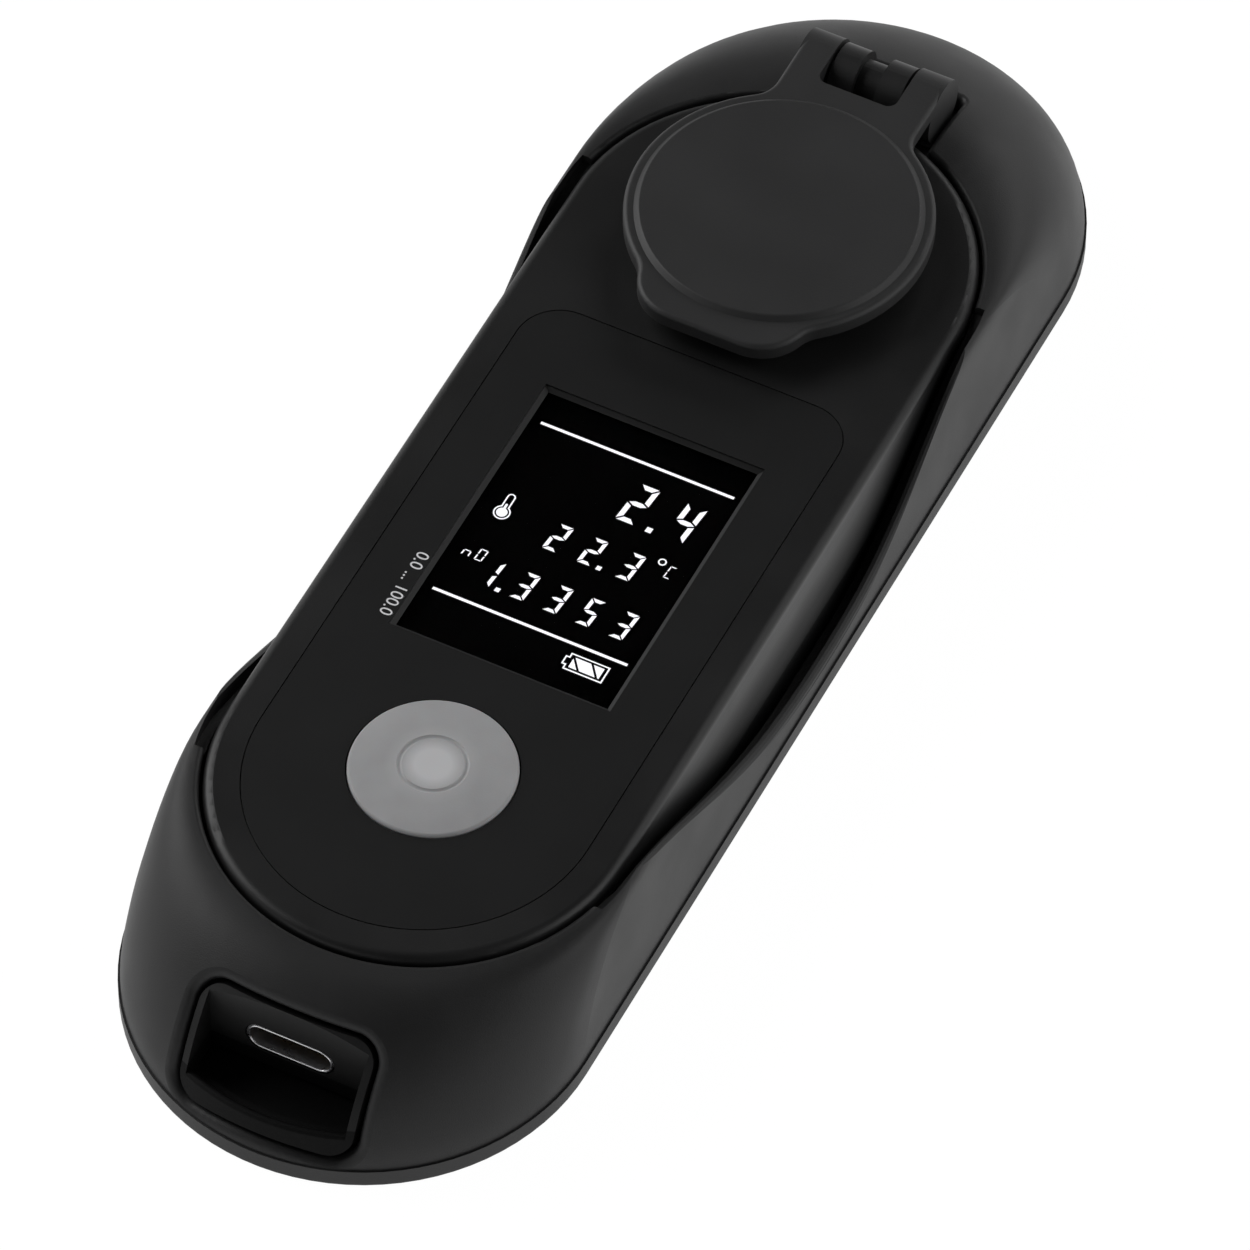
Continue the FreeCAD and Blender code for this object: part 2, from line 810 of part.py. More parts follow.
def make_key_switch():
    half = switch_size / 2
    body = rounded_block(-half, half, key_y - half, key_y + half, board_top, switch_top, switch_corner)
    bore_low = plunger_top - plunger_length - key_travel - plunger_gap
    return body.cut(post(plunger_radius + plunger_gap, 0, key_y, bore_low, above_all))


save(make_key_cap(), "key_cap")
save(make_key_switch(), "key_switch")
save(post(plunger_radius, 0, key_y, plunger_top - plunger_length, plunger_top), "switch_plunger")


# Charging port


def make_port_shell():
    """Drawn metal shell, open at the mouth, with two ears soldered under the board."""
    half = port_width / 2 + port_ear
    ear_low = board_low - port_ear_thickness
    ears = block(-half, half, port_back_y - port_ear, port_back_y, ear_low, board_low)
    shell = port_slug(0, port_mouth_y, port_back_y).fuse(ears)
    return shell.cut(port_slug(-port_shell_wall, port_mouth_y, port_back_y))


def make_port_tongue():
    """Moulded insert: a block that closes the back of the shell and the flat contact tongue."""
    insert_y = port_back_y - port_insert
    half = tongue_width / 2
    low_z = port_height - tongue_thickness / 2
    high_z = port_height + tongue_thickness / 2
    tongue = rounded_block(-half, half, insert_y - tongue_length, port_back_y, low_z, high_z, tongue_round)
    return tongue.fuse(port_slug(-port_shell_wall, insert_y, port_back_y))


save(make_port_shell(), "port_shell")
save(make_port_tongue(), "port_tongue")


# Main board, its components, the battery and the flex cable


def make_main_board():
    board = upright(stadium(board_low_radius, board_low_centre_y, board_high_y, board_low), board_thickness)
    sides = block(-board_half_width, board_half_width, -boot_length, board_high_y, board_low, board_top)
    board = board.common(sides)
    for x, y in screw_places():
        board = board.cut(post(boss_radius + boot_gap, x, y, board_low, board_top))
    for x, y in post_places():
        board = board.cut(post(board_screw_radius + 2 * fit_gap, x, y, board_low, board_top))
    return board


def make_board_components():
    """Chips and coils on the board and the flex connector, each a solid of its own."""
    components = []
    for x, y, width, length, height in board_chips:
        low_x = x - width / 2
        low_y = port_back_y + y - length / 2
        components.append(block(low_x, low_x + width, low_y, low_y + length, board_top, board_top + height))
    for x, y in coil_places:
        components.append(post(coil_radius, x, port_back_y + y, board_top, board_top + coil_height))
    low_x = optics_half_width + flex_gap
    low_y = board_high_y - flex_overlap
    low_z = board_top + flex_thickness
    high_y = low_y + connector_length
    components.append(block(low_x, low_x + flex_width, low_y, high_y, low_z, low_z + connector_height))
    return Part.makeCompound(components)


def make_battery():
    low_z = cavity_floor + battery_pad_thickness
    half = battery_half_width
    high_y = battery_low_y + battery_length
    cell = block(-half, half, battery_low_y, high_y, low_z, board_low - battery_headroom)
    edges = [edge for edge in cell.Edges if edge.BoundBox.YLength > battery_length / 2]
    return cell.makeFillet(battery_round, edges)


def make_battery_pad():
    half = battery_half_width - battery_round
    low_y = battery_low_y + battery_round
    high_y = battery_low_y + battery_length - battery_round
    return block(-half, half, low_y, high_y, cavity_floor, cavity_floor + battery_pad_thickness)


def make_flex_cable():
    """Flat cable from the main board past the optics block to the sensor's board."""
    low_x = optics_half_width + flex_gap
    high_x = low_x + flex_width
    leg_low_y = optics_high_y + optics_gap / 2
    leg_high_y = leg_low_y + flex_leg_width
    high_z = board_top + flex_thickness
    run = block(low_x, high_x, board_high_y - flex_overlap, leg_high_y, board_top, high_z)
    leg = block(0, high_x, leg_low_y, leg_high_y, board_top, high_z)
    return run.fuse(leg).removeSplitter()


save(make_main_board(), "main_board")
save(make_board_components(), "board_components")
save(make_battery(), "battery")
save(make_battery_pad(), "battery_pad")
save(make_flex_cable(), "flex_cable")


# Sample well and the optics under it


def make_sample_dish():
    """Turned steel dish: rim on the face, conical bowl and a collar that holds the prism."""
    bore = prism_radius + fit_gap
    profile = [
        (dish_radius, dish_seat),
        (dish_radius, dish_top - dish_rim_round),
        (dish_radius - dish_rim_round, dish_top),
        (dish_bowl_radius, dish_top),
        (bore, bowl_bottom),
        (bore, collar_bottom),
        (dish_collar_radius, collar_bottom),
        (dish_collar_radius, dish_seat),
    ]
    corners = [Vec(radius, well_y, z) for radius, z in profile]
    outline = Part.makePolygon(corners + corners[:1])
    return Part.Face(outline).revolve(Vec(0, well_y, 0), Vec(0, 0, 1), 360)


def make_dish_gasket():
    outer = dish_collar_radius + gasket_width - fit_gap
    ring = post(outer, 0, well_y, dish_seat - gasket_thickness, dish_seat)
    return ring.cut(post(dish_collar_radius + fit_gap, 0, well_y, 0, above_all))


def make_prism():
    """Round window on a truncated wedge whose slanted faces take the light in and out."""
    window = post(prism_radius, 0, well_y, collar_bottom, bowl_bottom)
    foot = collar_bottom - prism_drop
    corners = [
        Vec(-prism_half_width, well_y - prism_top_half, collar_bottom),
        Vec(-prism_half_width, well_y + prism_top_half, collar_bottom),
        Vec(-prism_half_width, well_y + prism_foot_half, foot),
        Vec(-prism_half_width, well_y - prism_foot_half, foot),
    ]
    wedge = Part.Face(Part.makePolygon(corners + corners[:1])).extrude(Vec(2 * prism_half_width, 0, 0))
    return window.fuse(wedge)


def make_optics_block():
    """Block with the prism's seat, the two light paths and pockets for the sensor and the probe."""
    half = optics_half_width
    body = block(-half, half, optics_low_y, optics_high_y, cavity_floor, collar_bottom)
    half_x = prism_half_width + optics_gap
    half_y = prism_top_half + optics_gap
    foot = collar_bottom - prism_drop - optics_gap
    body = body.cut(block(-half_x, half_x, well_y - half_y, well_y + half_y, foot, above_all))
    body = body.cut(beam(led_radius + optics_gap, -1, 0, 2 * optics_half_length))
    body = body.cut(beam(beam_radius, 1, 0, 2 * optics_half_length))
    chip_x = sensor_half_width + optics_gap
    chip_y = optics_high_y - sensor_thickness - optics_gap
    chip_z = sensor_height / 2 + optics_gap
    body = body.cut(block(-chip_x, chip_x, chip_y, boot_length, sensor_z - chip_z, sensor_z + chip_z))
    return body.cut(post(probe_radius + fit_gap, probe_x, well_y, collar_bottom - probe_length, above_all))


def make_led():
    """Clear lamp whose domed nose points up the light path at the prism."""
    stem = beam(led_radius, -1, led_distance + led_radius, led_length - led_radius)
    angle = math.radians(beam_angle)
    along = Vec(0, -math.cos(angle), -math.sin(angle))
    centre = Vec(0, well_y - beam_y, beam_z) + along * (led_distance + led_radius)
    nose = Part.makeSphere(led_radius, centre)
    return stem.fuse(nose).common(beam(led_radius, -1, led_distance, led_length))


def make_side_board(low_y):
    half = side_board_half_width
    return block(-half, half, low_y, low_y + side_board_thickness, side_board_low, board_top)


def make_image_sensor():
    half = sensor_half_width
    low_y = optics_high_y - sensor_thickness
    low_z = sensor_z - sensor_height / 2
    return block(-half, half, low_y, optics_high_y, low_z, low_z + sensor_height)


save(make_sample_dish(), "sample_dish")
save(make_dish_gasket(), "dish_gasket")
save(make_prism(), "prism")
save(make_optics_block(), "optics_block")
save(make_led(), "led")
save(beam(lens_radius, -1, lens_distance, lens_thickness), "collimator_lens")
save(make_side_board(optics_low_y - side_board_thickness), "led_board")
save(make_side_board(optics_high_y), "sensor_board")
save(make_image_sensor(), "image_sensor")
save(post(probe_radius, probe_x, well_y, collar_bottom - probe_length, collar_bottom), "temperature_probe")


# Flip cap with its pad and hinge pin


def make_tab(inset, z_low, z_high):
    """Slab with two round corners that reaches from the plate's middle out under the thumb."""
    half = tab_half_width - inset
    tab_y = well_y - tab_reach + inset
    tab = block(-half, half, tab_y, well_y, z_low, z_high)
    return tab.makeFillet(tab_corner - inset, upright_edges(tab, tab_y))


def root_edges(plate, side):
    """Upright edges where the arms (side 1) or the tab (side -1) leave the round plate."""
    found = []
    for edge in upright_edges(plate):
        centre = edge.BoundBox.Center
        on_round = abs(math.hypot(centre.x, centre.y - well_y) - cap_radius) < tolerance
        if on_round and side * (centre.y - well_y) > tolerance:
            found.append(edge)
    return found


def make_cap_plate():
    """Round plate with the thumb tab and the two arms' root, blended and rounded on top."""
    top_z = cap_low + cap_plate
    plate = post(cap_radius, 0, well_y, cap_low, top_z)
    plate = plate.fuse(block(-arm_half_width, arm_half_width, well_y, hinge_y, cap_low, top_z))
    plate = plate.fuse(make_tab(0, cap_low, top_z)).removeSplitter()
    plate = plate.makeFillet(arm_blend, root_edges(plate, 1))
    plate = plate.makeFillet(tab_blend, root_edges(plate, -1))
    rim = [edge for edge in level_edges(plate, top_z) if edge.BoundBox.YMin < hinge_y - tolerance]
    return plate.makeFillet(cap_edge_round, rim)


def make_flip_cap():
    top_z = cap_low + cap_plate
    cap = make_cap_plate()
    plateau_top = plateau_radius - plateau_bevel
    plateau = Part.makeCone(plateau_radius, plateau_top, plateau_rise, Vec(0, well_y, top_z))
    cap = cap.fuse(plateau.makeFillet(plateau_round, level_edges(plateau, top_z + plateau_rise)))
    tab_low = top_z - tab_thickness
    tab_room = post(pad_radius + tab_inset, 0, well_y, tab_low, cap_low)
    cap = cap.fuse(make_tab(tab_inset, tab_low, cap_low).cut(tab_room))
    cap = cap.fuse(rod_across(ear_radius, hinge_y, hinge_height, -arm_half_width, arm_half_width))
    half = arm_slot_half_width
    slot_high_y = hinge_y + 2 * ear_radius
    cap = cap.cut(rounded_block(-half, half, arm_slot_y, slot_high_y, 0, above_all, arm_slot_corner))
    bore = rod_across(
        pin_radius + pin_running_gap, hinge_y, hinge_height, -boot_length, arm_half_width - ear_skin)
    return cap.cut(bore)


def make_cap_pad():
    """Soft pad under the cap with a light-tight ring outside the dish's rim."""
    low_z = dish_top + pad_gap
    disc = post(pad_radius, 0, well_y, low_z, cap_low)
    ring = post(pad_radius, 0, well_y, low_z - pad_ring_height, low_z)
    inner = post(pad_radius - pad_ring_width, 0, well_y, low_z - pad_ring_height, low_z)
    return disc.fuse(ring.cut(inner)).removeSplitter()


def make_hinge_pin():
    low_x = pin_sink - arm_half_width
    high_x = arm_half_width - ear_skin - pin_running_gap
    return rod_across(pin_radius, hinge_y, hinge_height, low_x, high_x)


save(make_flip_cap(), "flip_cap")
save(make_cap_pad(), "cap_pad")
save(make_hinge_pin(), "hinge_pin")
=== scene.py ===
"""Looks of a handheld digital refractometer: a black housing in a flared rubber boot."""
import math

import bmesh
import bpy
from mathutils import Matrix, Vector


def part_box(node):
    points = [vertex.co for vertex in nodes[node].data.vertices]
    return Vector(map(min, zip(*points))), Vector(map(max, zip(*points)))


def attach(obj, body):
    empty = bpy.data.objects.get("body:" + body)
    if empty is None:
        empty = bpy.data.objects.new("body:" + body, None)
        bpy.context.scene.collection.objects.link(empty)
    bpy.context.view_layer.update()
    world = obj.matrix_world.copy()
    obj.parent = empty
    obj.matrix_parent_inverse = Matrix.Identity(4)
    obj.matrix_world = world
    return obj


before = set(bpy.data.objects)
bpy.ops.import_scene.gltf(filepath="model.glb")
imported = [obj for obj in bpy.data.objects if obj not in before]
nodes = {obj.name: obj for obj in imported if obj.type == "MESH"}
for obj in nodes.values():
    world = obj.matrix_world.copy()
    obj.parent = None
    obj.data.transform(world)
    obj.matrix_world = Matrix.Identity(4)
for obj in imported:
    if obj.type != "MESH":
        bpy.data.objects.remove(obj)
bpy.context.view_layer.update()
mm = 0.001

# Camera: a long lens on the studio arm, above the low end and a little to the right,
# aimed at the middle of the face. Its angles are in degrees.
aim_point = (8.16 * mm, -14.23 * mm, 16.9 * mm)
camera_azimuth = 26.21
camera_elevation = 51.62
camera_roll = 0.57
camera_distance = 1113.8 * mm
camera_data = bpy.data.cameras.new("camera")
camera_data.lens = 345.6
camera_data.sensor_width = 36.0
camera_data.clip_end = 10.0
camera = bpy.data.objects.new("camera", camera_data)
bpy.context.scene.collection.objects.link(camera)
aim = Matrix.Translation(aim_point)
azimuth = Matrix.Rotation(math.radians(camera_azimuth), 4, "Z")
tilt = Matrix.Rotation(math.radians(90 - camera_elevation), 4, "X")
roll = Matrix.Rotation(math.radians(camera_roll), 4, "Z")
camera.matrix_world = aim @ azimuth @ tilt @ roll @ Matrix.Translation((0, 0, camera_distance))
bpy.context.scene.camera = camera
bpy.context.scene.view_settings.view_transform = "Standard"


# Rubber boot: one soft matt moulding that grips the housing.
# Its skin is finely blasted, a little cloudy where hands have polished it, and holds some dust.
class Wire:
    """One output of a shader node, which can be used in sums."""

    def __init__(self, finish, socket):
        self.finish = finish
        self.socket = socket

    def maths(self, operation, left, right):
        return self.finish.node("ShaderNodeMath", {"operation": operation}, {0: left, 1: right})

    def __add__(self, other):
        return self.maths("ADD", self, other)

    def __sub__(self, other):
        return self.maths("SUBTRACT", self, other)

    def __rsub__(self, other):
        return self.maths("SUBTRACT", other, self)

    def __mul__(self, other):
        return self.maths("MULTIPLY", self, other)

    __radd__ = __add__
    __rmul__ = __mul__

    def sine(self):
        return self.finish.node("ShaderNodeMath", {"operation": "SINE"}, {0: self})


class Finish:
    """A material whose shader is built up from wires."""

    def __init__(self, name):
        self.material = bpy.data.materials.new(name)
        self.material.use_nodes = True
        self.tree = self.material.node_tree
        self.shader = self.tree.nodes["Principled BSDF"]

    def node(self, kind, settings, inputs, output=0):
        made = self.tree.nodes.new(kind)
        for key, value in settings.items():
            setattr(made, key, value)
        for key, value in inputs.items():
            self.join(value, made.inputs[key])
        return Wire(self, made.outputs[output])

    def join(self, value, socket):
        if isinstance(value, Wire):
            self.tree.links.new(value.socket, socket)
        else:
            socket.default_value = value

    def set(self, **inputs):
        for key, value in inputs.items():
            self.join(value, self.shader.inputs[key.replace("_", " ")])

    def place(self):
        return self.node("ShaderNodeTexCoord", {}, {}, "Object")

    def away(self, corners):
        """Distance from the upright line through the middle of a box."""
        middle = [(low + high) / 2 for low, high in zip(*corners)]
        offset = self.node("ShaderNodeVectorMath", {"operation": "SUBTRACT"}, {0: self.place(), 1: middle})
        flat = self.node("ShaderNodeVectorMath", {"operation": "MULTIPLY"}, {0: offset, 1: (1, 1, 0)})
        return self.node("ShaderNodeVectorMath", {"operation": "LENGTH"}, {0: flat}, "Value")

    def noise(self, size, detail=2.0):
        """Cloudy pattern whose patches are about size metres across, from 0 to 1."""
        return self.node("ShaderNodeTexNoise", {}, {
            "Vector": self.place(), "Scale": 1 / size, "Detail": detail})

    def ramp(self, wire, start, end, low, high):
        """Takes the range from start to end to the range from low to high, and holds it there."""
        return self.node("ShaderNodeMapRange", {}, {
            "Value": wire, "From Min": start, "From Max": end, "To Min": low, "To Max": high})

    def spread(self, wire, low, high):
        """Stretches the middle of a 0 to 1 pattern to the range from low to high."""
        return self.ramp(wire, 0.3, 0.7, low, high)

    def mix(self, share, first, second):
        return self.node("ShaderNodeMix", {"data_type": "RGBA"}, {0: share, 6: first, 7: second}, 2)

    def bump(self, height, depth):
        return self.node("ShaderNodeBump", {}, {"Height": height, "Distance": depth})


def grey(level):
    return (level, level, level * 1.02, 1)


def dress(finish, *names):
    for name in names:
        for slot in nodes[name].material_slots:
            slot.material = finish.material


rubber = Finish("boot_rubber")
cloud = rubber.noise(11 * mm, 4.0)
grain = rubber.noise(0.14 * mm)
dust = rubber.ramp(rubber.noise(0.5 * mm, 4.0), 0.68, 0.76, 0, 1)
skin = rubber.mix(rubber.spread(cloud, 0, 1), grey(0.013), grey(0.017))
rubber.set(
    Base_Color=rubber.mix(dust * 0.3, skin, grey(0.035)),
    Roughness=rubber.spread(cloud, 0.46, 0.56) + dust * 0.1,
    Specular_IOR_Level=0.3,
    Normal=rubber.bump(grain, 0.014 * mm),
)
dress(rubber, "rubber_boot")

# Housing: two black ABS mouldings with a fine spark-eroded grain.
# They meet at the parting line and are screwed together from below.
# Deep inside, and in the port's pocket, the colour is painted nearly black as painted shade, and the skin
# is duller.
deep_z = 9.5 * mm
open_z = 13.5 * mm
housing = Finish("housing_plastic")
grain = housing.noise(0.16 * mm)
cloud = housing.noise(14 * mm, 3.0)
level = housing.node("ShaderNodeSeparateXYZ", {}, {0: housing.place()}, "Z")
# Painted shade: the colour darkens to nearly black, and the skin roughens, towards the bottom of the
# housing.
painted_depth_shade = housing.ramp(level, deep_z, open_z, 1, 0)
skin = housing.mix(housing.spread(cloud, 0, 1), grey(0.008), grey(0.0105))
housing.set(
    Base_Color=housing.mix(painted_depth_shade, skin, grey(0.0015)),
    Roughness=housing.spread(cloud, 0.4, 0.48) + painted_depth_shade * 0.2,
    Specular_IOR_Level=0.32,
    Normal=housing.bump(grain, 0.010 * mm),
)
dress(housing, "upper_housing", "display_tray", "optics_block", "key_switch")

# Lower housing: the same plastic with a coarser, duller grain, since the boot covers it, and painted
# darker as painted shade.
# It shows only in the trough under the port and along the waist.
tray = Finish("tray_plastic_painted_shade")
grain = tray.noise(0.25 * mm, 3.0)
# Painted shade: this plastic is painted far darker than the upper housing's, for the shade in the trough
# and deep in the boot.
tray.set(
    Base_Color=tray.mix(tray.spread(grain, 0, 1), grey(0.0015), grey(0.003)),
    Roughness=tray.spread(grain, 0.55, 0.65),
    Specular_IOR_Level=0.12,
    Normal=tray.bump(grain, 0.015 * mm),
)
dress(tray, "lower_housing")

# Seals: a strip of soft silicone in the parting line, the dish's gasket and the cap's pad.
# They are cast, with a dull skin and a little talc left on it.
seal = Finish("seal_silicone")
talc = seal.noise(0.8 * mm, 4.0)
seal.set(
    Base_Color=seal.mix(seal.spread(talc, 0, 1), grey(0.018), grey(0.035)),
    Roughness=seal.spread(talc, 0.6, 0.75),
    Normal=seal.bump(seal.noise(0.3 * mm), 0.02 * mm),
)
dress(seal, "housing_seal", "dish_gasket", "cap_pad", "battery_pad")

# Screws and the hinge pin: plain zinc-plated steel, with rolled shanks.
screw = Finish("screw_steel")
rolled = screw.noise(0.25 * mm, 3.0)
screw.set(
    Base_Color=screw.mix(screw.spread(rolled, 0, 1), grey(0.5), grey(0.62)),
    Metallic=1.0,
    Roughness=screw.spread(rolled, 0.25, 0.4),
    Normal=screw.bump(rolled, 0.006 * mm),
)
dress(screw, "housing_screws", "board_screws", "hinge_pin", "temperature_probe")

# Face film: a thin printed polyester sheet in a shallow seat round the window and the key.
# Its satin skin is slightly orange-peeled.
film = Finish("face_film")
peel = film.noise(1.2 * mm)
grain = film.noise(0.1 * mm)
film.set(
    Base_Color=film.mix(film.spread(film.noise(8 * mm), 0, 1), grey(0.0075), grey(0.0092)),
    Roughness=film.spread(grain, 0.36, 0.42),
    Specular_IOR_Level=0.4,
    Normal=film.bump(peel + grain * 0.3, 0.008 * mm),
)
dress(film, "face_film")

# Range numbers: screen-printed in white on the film, beside the display's left edge.
# They read downwards.
ink_height = 0.012 * mm
range_x = -12.95 * mm
range_top = -15.0 * mm
range_size = 1.78 * mm


def settle(piece, finish):
    """Applies a piece's place, gives it its finish and fixes it to the case."""
    bpy.ops.object.select_all(action="DESELECT")
    piece.select_set(True)
    bpy.context.view_layer.objects.active = piece
    bpy.ops.object.transform_apply(location=True, rotation=True, scale=True)
    piece.data.materials.clear()
    piece.data.materials.append(finish.material)
    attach(piece, "case")


ink = Finish("white_ink")
spots = ink.noise(0.15 * mm, 3.0)
ink.set(
    Base_Color=ink.mix(ink.spread(spots, 0, 1), grey(0.72), grey(0.82)),
    Roughness=ink.spread(spots, 0.45, 0.55),
)
bpy.ops.object.select_all(action="DESELECT")
bpy.ops.object.text_add()
numbers = bpy.context.object
numbers.name = "range_numbers"
numbers.data.body = "0.0 ... 100.0"
numbers.data.size = range_size
numbers.data.extrude = ink_height / 2
bpy.ops.object.convert(target="MESH")
numbers = bpy.context.object
numbers.rotation_euler = (0, 0, -math.pi / 2)
numbers.location = (range_x, range_top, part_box("face_film")[1][2] + ink_height / 2)
settle(numbers, ink)

# Display window: clear acrylic over the panel, dust-free and nearly flawless.
# Its anti-reflection coating is given by a low index, so the lamps hardly show in it.
glass = Finish("window_acrylic")
glass.set(
    Base_Color=grey(0.92),
    Transmission_Weight=1.0,
    IOR=1.05,
    Roughness=glass.spread(glass.noise(3 * mm), 0.0, 0.015),
)
dress(glass, "display_window")

# Display panel: black glass with a faint edge seal, over a white light guide.
panel = Finish("panel_glass")
panel.set(
    Base_Color=panel.mix(panel.spread(panel.noise(4 * mm), 0, 1), grey(0.0008), grey(0.0014)),
    Roughness=0.4,
    Specular_IOR_Level=0.02,
)
dress(panel, "lcd_panel")
guide = Finish("light_guide")
dots = guide.noise(0.4 * mm)
guide.set(
    Base_Color=guide.mix(guide.spread(dots, 0, 1), grey(0.72), grey(0.85)),
    Roughness=guide.spread(dots, 0.3, 0.45),
)
dress(guide, "lcd_backlight", "switch_plunger")

# Lit figures and signs: thin lit layers on the panel's top, under the window.
# A figure is made of seven straight bars with mitred ends and leans a little to the right.
# Their places are in millimetres from the part's middle, and rows_x and rows_y move them all.
layer_height = 0.012 * mm
panel_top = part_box("lcd_panel")[1][2]
figure_width = 0.45
figure_lean = 0.087
hairline = 0.02
rows_x = -0.11
rows_y = 0.23

lit = Finish("lit_segments")
glow = lit.noise(2 * mm)
lit.set(
    Base_Color=grey(0.0),
    Roughness=0.6,
    Emission_Color=lit.mix(lit.spread(glow, 0, 1), grey(0.96), grey(1.0)),
    Emission_Strength=1.2,
)


def edit(piece):
    bpy.ops.object.select_all(action="DESELECT")
    piece.select_set(True)
    bpy.context.view_layer.objects.active = piece
    bpy.ops.object.mode_set(mode="EDIT")
    bpy.ops.mesh.select_mode(type="VERT")
    bpy.ops.mesh.select_all(action="SELECT")


def pick(piece, chosen):
    """Selects the vertices, in edit mode, for whose place chosen is true."""
    bpy.ops.mesh.select_all(action="DESELECT")
    shape = bmesh.from_edit_mesh(piece.data)
    for vertex in shape.verts:
        vertex.select = chosen(vertex.co)
    shape.select_flush(True)
    bmesh.update_edit_mesh(piece.data)


def thicken(piece, height):
    """Raises a flat piece to a thin slab and leaves edit mode."""
    bpy.ops.mesh.select_all(action="SELECT")
    bpy.ops.mesh.extrude_region_move(TRANSFORM_OT_translate={"value": (0, 0, height)})
    bpy.ops.mesh.select_all(action="SELECT")
    bpy.ops.mesh.normals_make_consistent(inside=False)
    bpy.ops.object.mode_set(mode="OBJECT")


def add_plane(name, x_low, x_high, y_low, y_high, z):
    bpy.ops.object.select_all(action="DESELECT")
    bpy.ops.mesh.primitive_plane_add(size=1, location=((x_low + x_high) / 2, (y_low + y_high) / 2, z))
    piece = bpy.context.object
    piece.name = name
    piece.scale = (x_high - x_low, y_high - y_low, 1)
    bpy.ops.object.transform_apply(location=True, rotation=True, scale=True)
    return piece


def make_bars(stroke):
    """The seven bars of a figure that is 1 high: top, right, bottom, left and the middle."""
    half = figure_width / 2
    inner = half - stroke
    # Each bar's reach in X and in Y, before its inner corners are cut to mitres
    forms = {
        "top": (-half, half, 0.5 - stroke, 0.5),
        "bottom": (-half, half, -0.5, stroke - 0.5),
        "high right": (inner, half, 0, 0.5),
        "low right": (inner, half, -0.5, 0),
        "high left": (-half, -inner, 0, 0.5),
        "low left": (-half, -inner, -0.5, 0),
        "middle": (-half, half, -stroke / 2, stroke / 2),
    }
    bars = {}
    for name, (x_low, x_high, y_low, y_high) in forms.items():
        bar = add_plane(name, x_low, x_high, y_low, y_high, 0)
        edit(bar)
        if name == "middle":
            pick(bar, lambda co: co.x > 0)
            bpy.ops.mesh.subdivide()
            pick(bar, lambda co: co.x < 0)
            bpy.ops.mesh.subdivide()
            pick(bar, lambda co: abs(co.y) > stroke / 4)
            bpy.ops.transform.resize(value=(inner / half, 1, 1), center_override=(0, 0, 0))
        elif name in ("top", "bottom"):
            pick(bar, lambda co: abs(co.y) < 0.5 - stroke / 2)
            bpy.ops.transform.resize(value=(inner / half, 1, 1), center_override=(0, 0, 0))
        else:
            away = math.copysign(1, y_low + y_high)
            pick(bar, lambda co: abs(co.x) < half - stroke / 2 and abs(co.y) > 0.25)
            bpy.ops.transform.translate(value=(0, -away * stroke, 0))
            pick(bar, lambda co: abs(co.x) < half - stroke / 2 and abs(co.y) < 0.1)
            bpy.ops.transform.translate(value=(0, away * stroke / 2, 0))
        bpy.ops.mesh.select_all(action="SELECT")
        bpy.ops.mesh.select_mode(type="FACE")
        bpy.ops.mesh.inset(thickness=hairline)
        bpy.ops.mesh.select_all(action="INVERT")
        bpy.ops.mesh.delete(type="FACE")
        bpy.ops.mesh.select_mode(type="VERT")
        thicken(bar, 1)
        bars[name] = bar.data
        bpy.data.objects.remove(bar)
    return bars


bold_bars = make_bars(0.145)
fine_bars = make_bars(0.11)
right = ["high right", "low right"]
shapes = {
    "1": right,
    "2": ["top", "high right", "middle", "low left", "bottom"],
    "3": ["top", "middle", "bottom"] + right,
    "4": ["high left", "middle"] + right,
    "5": ["top", "high left", "middle", "low right", "bottom"],
    "n": ["middle", "low left", "low right"],
    "box": ["top", "bottom", "high left", "low left"] + right,
    "C": ["top", "high left", "low left", "bottom"],
}


def layer_z(layer):
    """Middle height of a layer, counted from 0 on the panel's top."""
    return panel_top + layer_height * (0.5 + layer)


def add_figure(name, shape, bars, left, low, width, height):
    """A figure whose lower left corner is at left and low, in millimetres."""
    made = bmesh.new()
    for bar in shapes[shape]:
        made.from_mesh(bars[bar])
    mesh = bpy.data.meshes.new(name)
    made.to_mesh(mesh)
    made.free()
    lean = Matrix.Identity(4)
    lean[0][1] = figure_lean
    size = Matrix.Diagonal((width / figure_width * mm, height * mm, layer_height, 1))
    to_corner = Matrix.Translation((figure_width / 2, 0.5, 0))
    corner = Matrix.Translation(((left + rows_x) * mm, (low + rows_y) * mm, layer_z(0)))
    mesh.transform(corner @ lean @ size @ to_corner)
    piece = bpy.data.objects.new(name, mesh)
    bpy.context.scene.collection.objects.link(piece)
    settle(piece, lit)


# Each row of figures: name, shapes with the left corner of each, low edge, width and height
figure_rows = [
    ("upper", [("2", 1.13), ("4", 6.1)], -2.65, 2.2, 5.0),
    ("middle", [("2", -3.36), ("2", 0.26), ("3", 4.22)], -8.85, 1.6, 3.45),
    ("lower", [("1", -7.1), ("3", -3.5), ("3", -0.06), ("5", 3.33), ("3", 6.83)], -15.4, 1.6, 3.45),
]
for row, figures, low, width, height in figure_rows:
    for index, (shape, left) in enumerate(figures):
        add_figure(row + "_figure_" + str(index + 1), shape, bold_bars, left, low, width, height)
add_figure("index_sign_n", "n", fine_bars, -9.75, -12.95, 0.9, 1.4)
add_figure("index_sign_box", "box", fine_bars, -8.38, -12.95, 0.88, 1.5)
add_figure("degree_sign_c", "C", fine_bars, 8.35, -6.9, 0.75, 1.6)


